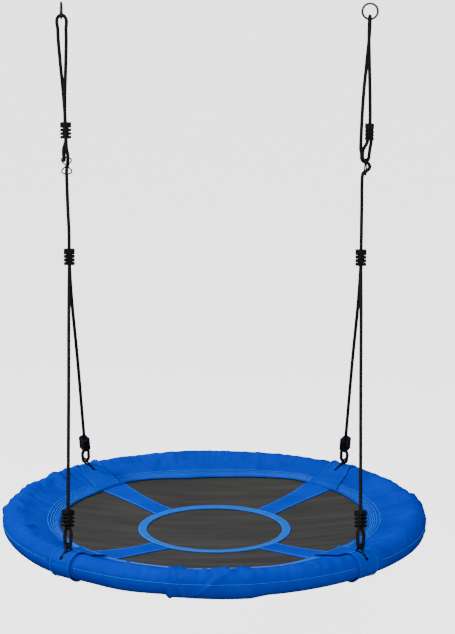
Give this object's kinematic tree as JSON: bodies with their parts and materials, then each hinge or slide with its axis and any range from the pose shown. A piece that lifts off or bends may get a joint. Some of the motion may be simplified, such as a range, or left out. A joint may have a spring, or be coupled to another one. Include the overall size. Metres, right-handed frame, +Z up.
{
  "type": "saucer nest swing",
  "caption": "Round nest swing: fabric mat in a padded steel hoop, hung on adjustable ropes from steel rings, free to swing, sway and change height.",
  "frame": {"origin": "midway between the centres of the two hanging rings", "axes": "+Z up, +X towards the right ring seen from the front, front of the seat at -Y"},
  "size_m": [0.9986, 0.9986, 1.2495],
  "materials": {
    "ring_steel": "satin",
    "black_steel": "gloss",
    "rope": "braided",
    "clamp_plastic": "satin",
    "hoop_steel": "satin",
    "cover_fabric": "woven, coated",
    "mat_fabric": "woven",
    "ring_tape": "woven",
    "foam": "closed cell"
  },
  "bodies": {
    "anchor": {"ring_right": "ring_steel"},
    "swing_line": {"ring_left": "ring_steel"},
    "hanger_left": {"loop_rope_left": "rope"},
    "tensioner_left": {"adjuster_left": "black_steel", "end_clamp_left": "clamp_plastic", "end_eye_left": "rope", "weave_rope_left": "rope", "standing_rope_left": "rope"},
    "bridle_left": {"y_clamp_left": "clamp_plastic", "lower_rope_back_left": "rope", "lower_clamp_back_left": "clamp_plastic", "lower_eye_back_left": "rope", "lower_rope_front_left": "rope", "lower_clamp_front_left": "clamp_plastic", "lower_eye_front_left": "rope"},
    "hanger_right": {"loop_rope_right": "rope"},
    "tensioner_right": {"adjuster_right": "black_steel", "end_clamp_right": "clamp_plastic", "end_eye_right": "rope", "weave_rope_right": "rope", "standing_rope_right": "rope"},
    "bridle_right": {"y_clamp_right": "clamp_plastic", "lower_rope_back_right": "rope", "lower_clamp_back_right": "clamp_plastic", "lower_eye_back_right": "rope", "lower_rope_front_right": "rope", "lower_clamp_front_right": "clamp_plastic", "lower_eye_front_right": "rope"},
    "seat": {"hanger_link_back_right": "black_steel", "hoop_tube_back_right": "hoop_steel", "slit_band_back_right": "cover_fabric", "cross_strap_back_right": "cover_fabric", "hanger_link_back_left": "black_steel", "hoop_tube_back_left": "hoop_steel", "slit_band_back_left": "cover_fabric", "cross_strap_back_left": "cover_fabric", "hanger_link_front_left": "black_steel", "hoop_tube_front_left": "hoop_steel", "slit_band_front_left": "cover_fabric", "cross_strap_front_left": "cover_fabric", "hanger_link_front_right": "black_steel", "hoop_tube_front_right": "hoop_steel", "slit_band_front_right": "cover_fabric", "cross_strap_front_right": "cover_fabric", "hoop_spigot_right": "hoop_steel", "foam_sleeve_right": "foam", "hoop_spigot_back": "hoop_steel", "foam_sleeve_back": "foam", "hoop_spigot_left": "hoop_steel", "foam_sleeve_left": "foam", "hoop_spigot_front": "hoop_steel", "foam_sleeve_front": "foam", "cover": "cover_fabric", "mat": "mat_fabric", "centre_ring": "ring_tape"}
  },
  "joints": [
    {"name": "swing", "type": "hinge", "parent": "anchor", "child": "swing_line", "pos_m": [0.348, 0, -0.0175], "axis": [0.9997, 0, -0.0251], "range_deg": [-40, 40]},
    {"name": "sway", "type": "hinge", "parent": "swing_line", "child": "hanger_left", "pos_m": [-0.348, 0, -0.0175], "axis": [0, 1, 0], "range_deg": [-5, 5]},
    {"name": "sway_right", "type": "hinge", "parent": "swing_line", "child": "hanger_right", "pos_m": [0.348, 0, 0], "axis": [0, 1, 0], "range_deg": [-4.95, 4.95]},
    {"name": "tensioner_left_slide", "type": "slide", "parent": "hanger_left", "child": "tensioner_left", "axis": [0, 0, 1], "range_m": [-0.06, 0.18], "deforming": ["loop_rope_left"]},
    {"name": "seat_height", "type": "slide", "parent": "tensioner_left", "child": "bridle_left", "axis": [0, 0, -1], "range_m": [-0.12, 0.36], "deforming": ["standing_rope_left"]},
    {"name": "tensioner_right_slide", "type": "slide", "parent": "hanger_right", "child": "tensioner_right", "axis": [0, 0, 1], "range_m": [-0.06, 0.18], "deforming": ["loop_rope_right"]},
    {"name": "bridle_right_slide", "type": "slide", "parent": "tensioner_right", "child": "bridle_right", "axis": [0, 0, -1], "range_m": [-0.12, 0.36], "deforming": ["standing_rope_right"]},
    {"name": "seat_level", "type": "hinge", "parent": "bridle_left", "child": "seat", "pos_m": [-0.324, 0, -1.154], "axis": [0, 1, 0], "range_deg": [-5.4, 5.4]}
  ],
  "couplings": [
    {"joint": "sway_right", "follows": "sway", "ratio": 0.9856},
    {"joint": "seat_level", "follows": "sway", "ratio": -1.0733},
    {"joint": "tensioner_left_slide", "follows": "seat_height", "ratio": 0.5},
    {"joint": "tensioner_right_slide", "follows": "seat_height", "ratio": 0.5},
    {"joint": "bridle_right_slide", "follows": "seat_height", "ratio": 1}
  ]
}
